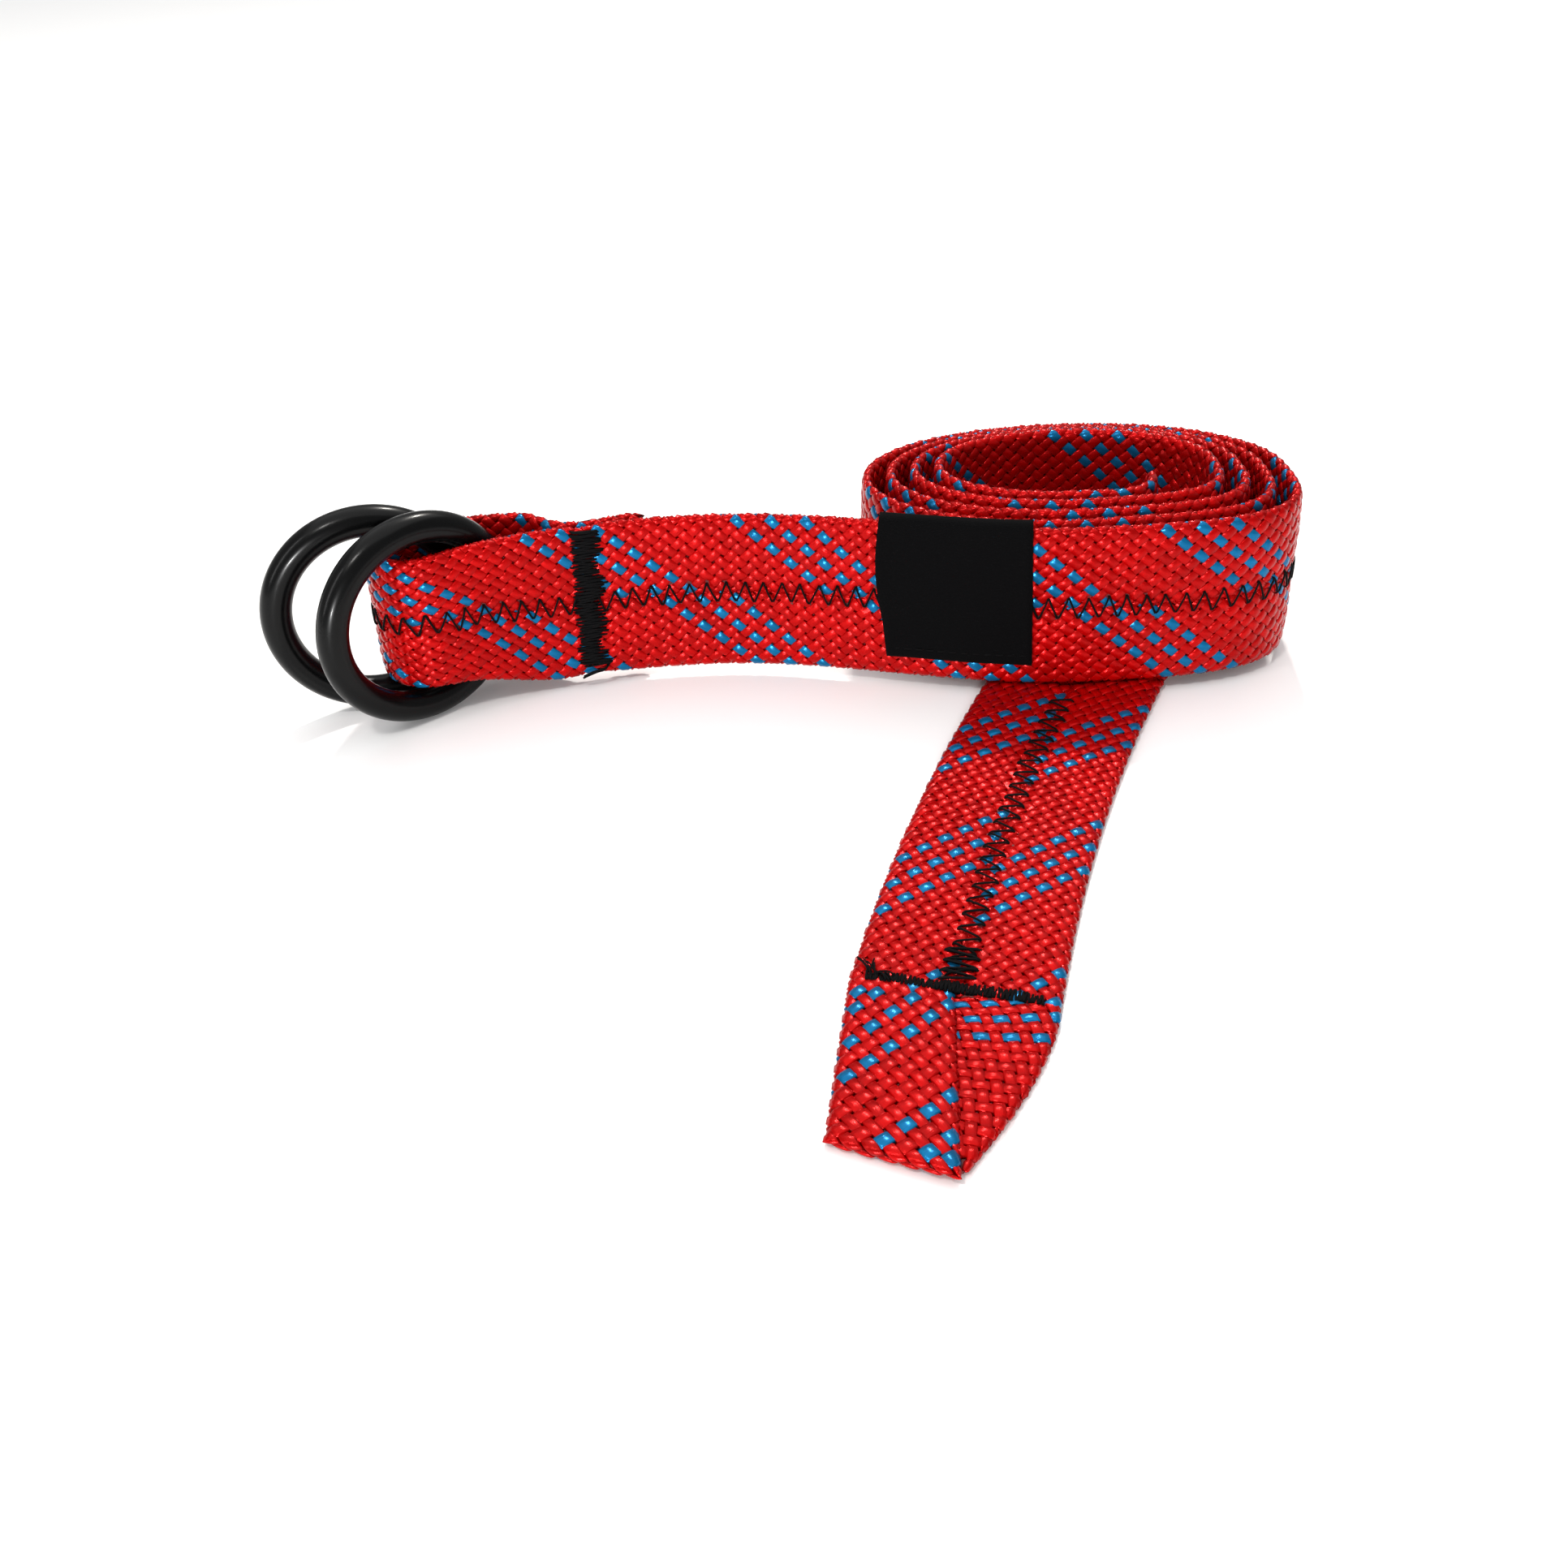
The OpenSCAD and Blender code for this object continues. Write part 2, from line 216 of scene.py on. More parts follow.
# The camera, the world's light, and the lights: place, size across and up, watts and colour
CAMERA_AT = (-2.5 * MM, -248 * MM, 177.22 * MM)
LENS = 36
SENSOR = 36
FLOOR_HALF = 4
AIM_AT = Vector((0, 0.02, 0.02))
WORLD_LIGHT = 0.42
LIGHTS = (
    ("Key", (-0.3, -0.45, 0.9), (0.12, 0.12), 3, (1, 0.98, 0.95)),
    ("Rim", (0.12, 0.6, 0.75), (0.06, 0.06), 6, (1, 0.96, 0.9)),
    ("Front", (-0.25, -0.9, 0.12), (0.06, 0.06), 8, (1, 1, 1)),
    ("Strip", (-0.6, -0.25, 0.35), (0.08, 0.5), 1, (1, 1, 1)),
    ("Top", (0, 0.5, 2.5), (4.0, 4.0), 60, (1, 1, 1)),
)


def length(name, description, default):
    return FloatProperty(name=name, description=description, default=default, unit="LENGTH")


def colour(name, description, default):
    return FloatVectorProperty(name=name, description=description, default=default, size=3, subtype="COLOR",
                               min=0, max=1)


class BraidSettings(bpy.types.PropertyGroup):
    """The braid of the sheath."""

    yarns: IntProperty(name="Yarns", description="Yarns that run each way round the sheath", default=12)
    lead: length("Lead", "Length in which a yarn goes once round", 44 * MM)
    half_length: length("Float half length", "From a float's crest to where it dives", 2.15 * MM)
    half_width: length("Float half width", "Half the width of a yarn", 1.2 * MM)
    rise: length("Float rise", "Height of a float's crest over the cloth", 0.5 * MM)
    red: colour("Red", "Colour of the ground yarns", (0.41, 0.0008, 0.001))
    blue: colour("Blue", "Colour of the marker yarns", (0.003, 0.12, 0.28))


class StitchSettings(bpy.types.PropertyGroup):
    """The zigzag seam and the bar tacks."""

    pitch: length("Pitch", "Length of strap from one stitch to the next", 2 * MM)
    height: length("Height", "Width of the zigzag across the strap", 4.8 * MM)
    thread: length("Thread", "Diameter of the thread", 0.42 * MM)
    black: colour("Black", "Colour of the thread", (0.002, 0.002, 0.0022))


class LabelSettings(bpy.types.PropertyGroup):
    """The woven label over the strap's edge."""

    width: length("Width", "Width of the label", 31 * MM)
    height: length("Height", "Height of each leaf", 30 * MM)
    thickness: length("Thickness", "Thickness of the ribbon", 0.3 * MM)
    black: colour("Black", "Colour of the ribbon", (0.0015, 0.0015, 0.0017))


class StageSettings(bpy.types.PropertyGroup):
    """The floor, the lights and the camera."""

    floor: colour("Floor", "Colour of the floor", (0.9, 0.9, 0.9))
    pitch: FloatProperty(name="Camera pitch", description="How far the camera looks down",
                         default=math.radians(34.9056), subtype="ANGLE")
    roll: FloatProperty(name="Camera roll", description="Turn of the camera about its line of sight",
                        default=math.radians(-2.5), subtype="ANGLE")


# ---- The strap's shape ----

def ease(s):
    return (1 - np.cos(np.pi * np.clip(s, 0, 1))) / 2


def unit(v):
    return v / np.linalg.norm(v, axis=-1, keepdims=True)


def run_y(x):
    swung = RUN_Y + RUN_SWING * ease((COIL_X - x) / RUN_LEN)
    past = np.maximum(CREST_X - x, 0) / LOOP_REACH
    return np.where(x > CREST_X, swung, CREST_Y - LOOP_FALL * past**LOOP_BOW)


def end_y(x):
    lying = run_y(x) + STRAP_T + LAY_GAP
    return lying + (LOOP_Y + LOOP_R - lying) * ease((TACK_X - LYING_PAST_TACK - x) / SHOULDER)


def low_at(x):
    return (PASS_LIFT - PASS_HALF) * ease((WIDE_X - x) / RISE_LEN)


def high_at(x):
    drop = STRAP_W - PASS_LIFT - PASS_HALF + END_DRAW
    return STRAP_W - drop * ease((DRAW_X - x) / DRAW_LEN)


def coil_point(u):
    angle = np.radians(270 + u)
    corner = (270 + u) % 360 >= 270
    k = u / 360
    power = np.where(corner, CORNER_POWER, ROUND_POWER)
    across = np.abs(np.cos(angle)) / (HALF_LEN - END_PITCH * k)
    along = np.abs(np.sin(angle)) / (HALF_DEP - SIDE_PITCH * k)
    r = (across**power + along**power) ** (-1 / power)
    return np.stack([COIL_X + r * np.cos(angle), COIL_Y + r * np.sin(angle)], 1)


def lean(plan, z):
    """Stands points of the plan at height z, leant back over the coil's back edge."""
    y = plan[:, 1] - COIL_BACK
    return np.stack([plan[:, 0], COIL_BACK + y * math.cos(TILT) + z * math.sin(TILT),
                     z * math.cos(TILT) - y * math.sin(TILT)], 1)


def heading(turned):
    a = np.radians(270 - TAIL_ANGLE + np.asarray(turned, float))
    return np.stack([np.cos(a), np.sin(a)], -1)


def left_of(v):
    return np.stack([-v[..., 1], v[..., 0]], -1)


def tail_point(s, side, z=HALF_T):
    centre = TAIL_START + TAIL_R * left_of(heading(0))
    from_centre = (TAIL_R - np.asarray(side, float))[..., None]
    p = centre - from_centre * left_of(heading(np.degrees(np.asarray(s, float) / TAIL_R)))
    return np.concatenate([p, np.full(p.shape[:-1] + (1,), z)], -1)


def hermite(p0, m0, p1, m1, s):
    s = s[:, None]
    return ((2 * s**3 - 3 * s**2 + 1) * p0 + (s**3 - 2 * s**2 + s) * m0
            + (3 * s**2 - 2 * s**3) * p1 + (s**3 - s**2) * m1)


def strap_edges():
    """The strap's lower and upper edges from its folded-back end to the tip tack, with its stations."""
    x_end = np.linspace(END_X, LOOP_X, 60)
    a = np.radians(np.linspace(90, 270 + math.degrees(FOLD_SLOPE), 60)[1:-1])
    bight = np.stack([LOOP_X + LOOP_R * np.cos(a), LOOP_Y + LOOP_R * np.sin(a)], 1)
    x_run = np.linspace(FOLD_X, COIL_X, 200)[:-1]
    coil = coil_point(np.linspace(0, 360 * TURNS, 1400))
    a = np.radians(np.linspace(270, 360, 24))
    bend = coil[-1] + [BEND_RUN, BEND_R] + BEND_R * np.stack([np.cos(a), np.sin(a)], 1)
    front = np.concatenate([np.stack([x_end, end_y(x_end)], 1), bight, np.stack([x_run, run_y(x_run)], 1)])
    rolled = np.concatenate([coil, bend])
    turn = np.concatenate([np.linspace(0, TURNS, len(coil)), np.full(len(bend), TURNS)])
    lift = np.minimum((TURNS - 1) * TURN_RISE, TURN_RISE * np.maximum(turn - 0.5, 0))
    low = np.concatenate([lean(front, low_at(front[:, 0])), lean(rolled, lift)])
    high = np.concatenate([lean(front, high_at(front[:, 0])), lean(rolled, lift + STRAP_W)])
    s = np.linspace(0, 1, 80)[1:]
    flat = tail_point(-TAIL_LAY, np.array([-MID_W, MID_W]))
    way = np.append(heading(math.degrees(-TAIL_LAY / TAIL_R)), 0)
    low_twist = hermite(low[-1], np.array([0, LOW_PULL, 0]), flat[0], LOW_PULL * way, s)
    high_twist = hermite(high[-1], HIGH_PULL * np.array([0, 1, -0.6]), flat[1], HIGH_PULL * way, s)
    s = np.linspace(-TAIL_LAY, TAIL_LEN, 140)[1:]
    low = np.concatenate([low, low_twist, tail_point(s, -MID_W)])
    high = np.concatenate([high, high_twist, tail_point(s, MID_W)])
    nearest = lambda row, x: np.argmin(np.abs(row - x))
    fold, twist = len(x_end) + len(bight), len(front) + len(rolled)
    start = {"loop": nearest(x_end, TACK_X - LYING_PAST_TACK), "end_tack": nearest(x_end, TACK_X),
             "tack": fold + nearest(x_run, TACK_X), "label": fold + nearest(x_run, LABEL_X),
             "bend": len(front) + len(coil), "twist": twist, "tail_root": twist + len(low_twist),
             "tip": len(low) - 1}
    for turn in range(TURNS):
        start[f"coil_{turn + 1}"] = len(front) + round(turn * len(coil) / TURNS)
    return low, high, start


def distances(points):
    """Distance along a row of points, from its first one."""
    return np.concatenate([[0], np.cumsum(np.linalg.norm(np.diff(points, axis=0), axis=1))])


def evened(points, s):
    """The row's points a step apart, where s is the distance of each."""
    even = np.arange(0, s[-1], STEP)
    return np.stack([np.interp(even, s, points[:, k]) for k in range(3)], 1)


def reader(s, count):
    """Reads samples a step apart at distances s, and says how many steps past the last sample each one is."""
    k = np.clip(s / STEP, 0, count - 1.001)
    i = k.astype(int)

    def read(row):
        f = (k - i)[..., None] if row.ndim > 1 else k - i
        return row[i] * (1 - f) + row[i + 1] * f
    return read, s / STEP - k


class Section:
    """The outline of a flattened sheath over its own length, from its high edge over the outer face."""

    def __init__(self, half_w, half_t):
        t = np.linspace(0, 2 * np.pi, 4001)
        c, s = np.cos(t), np.sin(t)
        x = np.sign(c) * np.abs(c) ** (2 / SECTION_POWER)
        y = np.sign(s) * np.abs(s) ** (2 / SECTION_POWER)
        p = np.stack([x * half_w, y * half_t], 1)
        self.length, self.x, self.y = distances(p), x, y
        self.around = self.length[-1]
        self.even = np.linspace(0, self.around, 721)
        dx, dy = (np.gradient(np.interp(self.even, self.length, p[:, k])) for k in range(2))
        self.nx, self.ny = unit(np.stack([dy, -dx], 1)).T

    def at(self, arc):
        arc = arc % self.around
        return (np.interp(arc, self.length, self.x), np.interp(arc, self.length, self.y),
                np.interp(arc, self.even, self.nx), np.interp(arc, self.even, self.ny))


class Tube:
    """One flattened sheath between two edges. Its far end may close to nothing or be rounded as a fold."""

    def __init__(self, low, high, half_t, section, closes=0, end_round=0):
        self.count, self.section, self.end_round = len(low), section, end_round
        self.centre = (low + high) / 2
        self.across = unit(high - low)
        self.half_w = np.linalg.norm(high - low, axis=1) / 2
        self.out = unit(np.cross(np.gradient(self.centre, axis=0), self.across))
        self.half_t = np.full(self.count, half_t)
        if closes:
            s = np.arange(self.count) * STEP
            self.half_t *= np.sqrt(np.clip(1 - (1 - np.clip((s[-1] - s) / closes, 0, 1)) ** 2, 0.01, 1))

    def place(self, s, arc, h):
        """Points at distance s along, arc round and h out, wrapped round the far end where that is a fold."""
        past = 0 * s
        if self.end_round:
            bend_from = (self.count - 1) * STEP - self.end_round
            past = np.clip((s - bend_from) / self.end_round, 0, 2)
            s = np.where(past > 0, bend_from + self.end_round * np.sin(past), s)
        read, beyond = reader(s, self.count)
        across, out = unit(read(self.across)), unit(read(self.out))
        ahead = np.cross(across, out)
        centre = read(self.centre) + ahead * beyond[..., None] * STEP
        x, y, nx, ny = self.section.at(arc)
        side = (read(self.half_w) * x + h * nx)[..., None]
        rise = ((read(self.half_t) * y + h * ny) * np.cos(past))[..., None]
        return centre + across * side + out * rise + ahead * (h * np.sin(past))[..., None]


class Strap:
    """The whole strap as a ribbon: its edges, its frame along the middle and its stations' distances."""

    def __init__(self):
        low, high, start = strap_edges()
        s = distances((low + high) / 2)
        self.at = {name: float(s[i]) for name, i in start.items()}
        self.low, self.high = evened(low, s), evened(high, s)
        self.middle = (self.low + self.high) / 2
        self.across = unit(self.high - self.low)
        self.out = unit(np.cross(np.gradient(self.middle, axis=0), self.across))
        self.joined = self.at["tip"] - TAIL_LEN + HINGE_AT - JOIN_BEFORE

    def tack_press(self):
        """How far the ring tack draws the strap together, along its length, from 0 to 1."""
        s = np.arange(len(self.low)) * STEP
        return sum(np.exp(-(((s - self.at[k]) / TACK_DRAW) ** 2)) for k in ("tack", "end_tack"))

    def place(self, s, w, n):
        """Points at distance s along, w from the middle towards the high edge and n out of it."""
        read = reader(s, len(self.low))[0]
        across, out = unit(read(self.across)), unit(read(self.out))
        return read(self.middle) + across * w[..., None] + out * n[..., None]


# ---- Templates and copies ----

def float_template():
    """One float of a yarn: a pillow that arches along X and is nearly level across, closed underneath."""
    bm = bmesh.new()
    bmesh.ops.create_grid(bm, x_segments=7, y_segments=4, size=1)
    bmesh.ops.holes_fill(bm, edges=[e for e in bm.edges if e.is_boundary], sides=0)
    bmesh.ops.recalc_face_normals(bm, faces=bm.faces)
    for v in bm.verts:
        u, w = v.co.x, v.co.y
        w = math.copysign(abs(w) ** ROUND_SPREAD, w)
        arch = 1 - abs(u) ** ARCH_POWER * ARCH_FALL
        level = (1 - abs(w) ** LEVEL_POWER * LEVEL_FALL) ** 0.5
        v.co = (u, w * (1 - TAPER * abs(u) ** 3), arch * level - SKIRT * (abs(w) > 0.99))
    return made_mesh("float", bm)


def stitch_template():
    """One stitch along X from -0.5 to 0.5, with a radius of 1 across."""
    bm = bmesh.new()
    bmesh.ops.create_cone(bm, cap_ends=True, segments=6, radius1=1, radius2=1, depth=1,
                          matrix=Matrix.Rotation(math.pi / 2, 4, "Y"))
    for x in (-0.44, -0.34, 0, 0.34, 0.44):
        bmesh.ops.bisect_plane(bm, geom=bm.verts[:] + bm.edges[:] + bm.faces[:], plane_co=(x, 0, 0),
                               plane_no=(1, 0, 0))
    bmesh.ops.recalc_face_normals(bm, faces=bm.faces)
    return made_mesh("stitch", bm)


def made_mesh(name, bm):
    mesh = bpy.data.meshes.new(name)
    bm.to_mesh(mesh)
    bm.free()
    mesh.shade_smooth()
    return mesh


def numbers(items, name, kind, width=1):
    found = np.empty(len(items) * width, kind)
    items.foreach_get(name, found)
    return found.reshape(-1, width) if width > 1 else found


def copies(name, template, points):
    """A mesh that holds the template once for each row of points, which gives the places of its vertices."""
    count, verts = points.shape[:2]
    corner = numbers(template.loops, "vertex_index", np.int32)
    first = numbers(template.polygons, "loop_start", np.int32)
    step = np.arange(count)[:, None]
    mesh = bpy.data.meshes.new(name)
    mesh.vertices.add(count * verts)
    mesh.loops.add(count * len(corner))
    mesh.polygons.add(count * len(first))
    mesh.vertices.foreach_set("co", points.astype(np.float32).ravel())
    mesh.loops.foreach_set("vertex_index", (corner + step * verts).astype(np.int32).ravel())
    mesh.polygons.foreach_set("loop_start", (first + step * len(corner)).astype(np.int32).ravel())
    mesh.update(calc_edges=True)
    mesh.shade_smooth()
    return mesh


def corner_map(mesh, name, uv):
    """A UV map from one place per vertex."""
    places = uv.reshape(-1, 2)[numbers(mesh.loops, "vertex_index", np.int32)]
    mesh.uv_layers.new(name=name).uv.foreach_set("vector", places.astype(np.float32).ravel())


def linked(mesh, material):
    obj = bpy.data.objects.new(mesh.name, mesh)
    mesh.materials.append(material)
    bpy.context.scene.collection.objects.link(obj)
    return obj


# ---- The sheath ----

def sheath_halves(strap):
    """The strap's two flattened sheaths as tubes: the lower one and the upper one."""
    press = strap.tack_press()
    inset = (EDGE_INSET + TACK_PINCH * press)[:, None] * strap.across
    lap = SEAM_LAP * strap.across
    section = Section(MID_W / 2, CLOTH_HALF_T)
    half_t = CLOTH_HALF_T * (1 - TACK_THIN * press)
    return (Tube(strap.low + inset, strap.middle + lap, half_t, section),
            Tube(strap.middle - lap, strap.high - inset, half_t, section))


def lattice(braid, around, s0, s1, lay, markers=MARKERS):
    """Where the yarns show as floats between two distances along: distance, distance round, way and dye."""
    pitch = braid.lead / braid.yarns
    phase, turn = lay[0] * braid.lead, lay[1]
    found = []
    for way, shift in ((1, 0), (-1, 0.5)):
        i = np.arange(math.ceil((s0 - phase) / pitch - shift), math.ceil((s1 - phase) / pitch - shift))
        i, j = np.meshgrid(i, np.arange(braid.yarns), indexing="ij")
        dyed = np.isin((j - i) % braid.yarns, markers) if way > 0 else np.zeros(i.shape, bool)
        yarn = (j - way * i) % braid.yarns + (way < 0) * braid.yarns
        s = (i + shift) * pitch + phase
        arc = (j + shift + turn) * around / braid.yarns
        found.append([a.ravel() for a in (s, arc, np.full(i.shape, way), dyed, yarn)])
    return [np.concatenate(a) for a in zip(*found)]


def braided(name, tube, braid, spots, material, seed, turned=0, press=None):
    """Floats of yarn on a tube, one at each spot."""
    s, arc, way, dyed, yarn = spots
    rng = np.random.default_rng(seed)
    template = float_template()
    shape = numbers(template.vertices, "co", np.float32, 3)
    u, v, h = shape.T[:, None]
    count = len(s)
    vary = lambda amount: (1 + rng.uniform(-amount, amount, count))[:, None]
    angle = way * math.atan2(tube.section.around, braid.lead) + turned + rng.normal(0, FLOAT_TURN, count)
    c, n = np.cos(angle)[:, None], np.sin(angle)[:, None]
    du, dv = u * braid.half_length * vary(0.04), v * braid.half_width * vary(0.04)
    at_s = (s + rng.normal(0, FLOAT_SHIFT, count))[:, None] + du * c + dv * n
    at_arc = (arc + rng.normal(0, FLOAT_SHIFT, count))[:, None] + du * n - dv * c
    rise = h * braid.rise * vary(0.1)
    if press is not None:
        rise = rise - press(at_s, at_arc)
    mesh = copies(name, template, tube.place(at_s, at_arc, rise))
    tone = np.random.default_rng(7).uniform(0, 1, 2 * braid.yarns)[yarn] * 0.5 + rng.uniform(0, 0.5, count)
    # The crest attribute, the float's height, drives the yarn finish's painted shade at each float's ends.
    for kind, value in (("dye", dyed[:, None]), ("tone", tone[:, None]), ("crest", np.clip(h, 0, 1))):
        value = (value * np.ones(at_s.shape)).astype(np.float32)
        mesh.attributes.new(kind, "FLOAT", "POINT").data.foreach_set("value", value.ravel())
    shift = rng.uniform(0, 50, (count, 2))
    corner_map(mesh, "Fibre", np.stack([du / MM + shift[:, :1], dv / MM + shift[:, 1:]], -1))
    bpy.data.meshes.remove(template)
    return linked(mesh, material)


def needle_press(stitches, half, tube):
    """How far the seam's needle holes press the floats of one half in."""
    side = 1 if half else -1

    def depth(s, arc):
        w = (tube.section.at(arc)[0] + side) * MID_W / 2
        near = np.exp(-(((w - side * stitches.height / 2) / NEEDLE_REACH) ** 2))
        phase = np.cos(np.pi * s / stitches.pitch) * side
        return NEEDLE_DEPTH * near * np.clip(phase, 0, 1) ** 3
    return depth


def cloth_tube(name, tube, s0, s1, material):
    """The cloth under the floats: a closed tube between two distances along."""
    rows = max(4, round((s1 - s0) / CLOTH_STEP))
    bm = bmesh.new()
    bmesh.ops.create_grid(bm, x_segments=rows, y_segments=CLOTH_ROUND, size=0.5)
    s = np.array([s0 + (v.co.x + 0.5) * (s1 - s0) for v in bm.verts])
    arc = np.array([(0.5 - v.co.y) * tube.section.around for v in bm.verts])
    for v, p in zip(bm.verts, tube.place(s, arc, np.zeros(len(s)))):
        v.co = p
    bmesh.ops.remove_doubles(bm, verts=bm.verts, dist=WELD)
    bmesh.ops.holes_fill(bm, edges=[e for e in bm.edges if e.is_boundary], sides=0)
    bmesh.ops.recalc_face_normals(bm, faces=bm.faces)
    return linked(made_mesh(name, bm), material)


def joined(name, objects):
    """One object made of several, which share their first one's material."""
    keep = objects[0]
    with bpy.context.temp_override(active_object=keep, selected_editable_objects=objects):
        bpy.ops.object.join()
    keep.name = keep.data.name = name
    return keep


# ---- Stitching ----

def stitched(name, strap, ends, heights, radius, material, seed, face=1, dive=0.9 * MM, bow=8):
    """Stitches on the strap. Ends holds rows of s, w, s, w, and the thread dives in at both places."""
    rng = np.random.default_rng(seed)
    template = stitch_template()
    shape = numbers(template.vertices, "co", np.float32, 3)
    x, y, z = shape.T[:, None]
    s0, w0, s1, w1 = ends.T[..., None]
    length = np.hypot(s1 - s0, w1 - w0)
    side_s, side_w = -(w1 - w0) / length, (s1 - s0) / length
    thick = radius * (1 + rng.uniform(-0.08, 0.08, (len(ends), 1)))
    s = s0 + (x + 0.5) * (s1 - s0) + y * thick * side_s
    w = w0 + (x + 0.5) * (w1 - w0) + y * thick * side_w
    n = heights[:, None] - dive * np.abs(2 * x) ** bow + z * thick
    if face < 0:
        w, n = w0 + w1 - w, -n
    mesh = copies(name, template, strap.place(s, w, n))
    corner_map(mesh, "Twist", np.stack([(x + 0 * s) * length / MM, y + 0 * s], -1))
    bpy.data.meshes.remove(template)
    return linked(mesh, material)


def zigzag(pitch, height, s0, s1, rng):
    """The ends of a zigzag's stitches along the strap's middle."""
    s = np.arange(s0, s1, pitch)
    s = s + rng.normal(0, 0.12 * MM, len(s))
    w = height / 2 * (-1.0) ** np.arange(len(s)) + rng.normal(0, 0.15 * MM, len(s))
    return np.stack([s[:-1], w[:-1], s[1:], w[1:]], 1)


def bar_tack(width, pitch, centre, w0, w1, slant, rng):
    """Two layers of dense stitches along the strap, from w0 to w1 across it, ragged at both edges."""
    rows = []
    for layer in range(2):
        w = np.arange(w0, w1, pitch)
        w = w + rng.normal(0, 0.25 * pitch, len(w))
        swell = SWELL * np.sin((w - w0) / RAGGED_STEP * 2 * np.pi + layer * 1.3) * (width / (5 * MM))
        half = width / 2 * (1 + rng.normal(0, 0.13, (2, len(w))))
        middle = centre + slant * (w - (w0 + w1) / 2) + 0.6 * swell
        left, right = middle - half[0] - 0.4 * swell, middle + half[1] + 0.3 * swell
        zig = pitch * 1.1 * (-1.0) ** np.arange(len(w))
        rows.append(np.stack([left, w - zig / 2, right, w + zig / 2], 1))
    return np.concatenate(rows), np.repeat([0.12 * MM, 0.34 * MM], [len(r) for r in rows])


def loose_ends(name, lines, radius, material):
    """Loose ends of thread, each through a few points."""
    curve = bpy.data.curves.new(name, "CURVE")
    curve.dimensions = "3D"
    curve.bevel_depth = radius
    curve.bevel_resolution = 2
    curve.use_fill_caps = True
    for line in lines:
        spline = curve.splines.new("NURBS")
        spline.points.add(len(line) - 1)
        spline.use_endpoint_u = True
        spline.order_u = 3
        for point, place in zip(spline.points, line):
            point.co = (*place, 1)
    drawn = bpy.data.objects.new(name, curve)
    mesh = bpy.data.meshes.new_from_object(drawn)
    bpy.data.objects.remove(drawn)
    mesh.shade_smooth()
    return linked(mesh, material)


# ---- Materials ----

class Wire:
    """A socket's value, on which arithmetic adds Math nodes."""

    def __init__(self, finish, socket):
        self.finish = finish
        self.socket = socket

    def maths(self, operation, a, b=0.0):
        return self.finish.node("ShaderNodeMath", {"operation": operation}, {0: a, 1: b})

    def __add__(self, other):
        return self.maths("ADD", self, other)

    def __radd__(self, other):
        return self.maths("ADD", other, self)

    def __mul__(self, other):
        return self.maths("MULTIPLY", self, other)

    def __rmul__(self, other):
        return self.maths("MULTIPLY", other, self)


class Finish:
    """One material and its nodes."""

    def __init__(self, name, **fixed):
        self.material = bpy.data.materials.new(name)
        self.material.use_nodes = True
        self.tree = self.material.node_tree
        self.shader = self.tree.nodes["Principled BSDF"]
        for socket, value in fixed.items():
            self.shader.inputs[socket.replace("_", " ")].default_value = value

    def node(self, kind, settings=None, sockets=None, output=0):
        """Adds a node: its settings first, then the values or links of its sockets."""
        made = self.tree.nodes.new(kind)
        for name, value in (settings or {}).items():
            setattr(made, name, value)
        for name, value in (sockets or {}).items():
            if isinstance(value, Wire):
                self.tree.links.new(value.socket, made.inputs[name])
            else:
                made.inputs[name].default_value = value
        return Wire(self, made.outputs[output])

    def mix(self, factor, a, b):
        """A colour between two."""
        return self.node("ShaderNodeMix", {"data_type": "RGBA"}, {0: factor, 6: a, 7: b}, output=2)

    def shade(self, colour, amount):
        """A colour made darker or lighter by a value."""
        return self.node("ShaderNodeVectorMath", {"operation": "SCALE"}, {0: colour, 3: amount})

    def feed(self, **links):
        for name, wire in links.items():
            self.tree.links.new(wire.socket, self.shader.inputs[name.replace("_", " ")])

    def bump(self, height, strength, distance):
        sockets = {"Strength": strength, "Distance": distance, "Height": height}
        self.feed(Normal=self.node("ShaderNodeBump", None, sockets))

    def noise(self, vector=None, scale=1.0, detail=2.0, dimensions="3D"):
        """A noise that lies on the object, or along the vector that is given."""
        vector = vector or self.node("ShaderNodeTexCoord", None, output=3)
        return self.node("ShaderNodeTexNoise", {"noise_dimensions": dimensions},
                         {"Vector": vector, "Scale": scale, "Detail": detail})

    def bands(self, vector, direction, scale, distortion, detail):
        sockets = {"Vector": vector, "Scale": scale, "Distortion": distortion, "Detail": detail}
        return self.node("ShaderNodeTexWave", {"wave_type": "BANDS", "bands_direction": direction}, sockets)


def colour4(rgb, times=1):
    return (*(c * times for c in rgb), 1.0)


def yarn_finish(braid):
    """Satin braided yarn: red ground, blue markers, fine fibres along each float, and painted shade that
    darkens each float where it dives.
    """
    f = Finish("Yarn", Metallic=0.4, Specular_IOR_Level=0.13)
    read = lambda name: f.node("ShaderNodeAttribute", {"attribute_name": name}, output=2)
    dye, tone, crest = read("dye"), read("tone"), read("crest")
    fibre = f.node("ShaderNodeUVMap", {"uv_map": "Fibre"})
    along = f.node("ShaderNodeMapping", None, {"Vector": fibre, "Scale": (0.5, 7.0, 1.0)})
    strands = f.noise(along, detail=3.0, dimensions="2D")
    blend = f.mix(dye, colour4(braid.red), colour4(braid.blue))
    # Painted shade: each float's colour darkens from its crest towards its ends, where it dives under its
    # neighbours.
    lit = crest * 1.6 + 0.25
    amount = lit.maths("MINIMUM", lit, 1.0) * (0.72 + 0.36 * tone) * (0.8 + 0.4 * strands)
    f.feed(Base_Color=f.shade(blend, amount), Roughness=0.17 + 0.1 * strands)
    f.bump(strands, 0.45, 0.07 * MM)
    return f.material


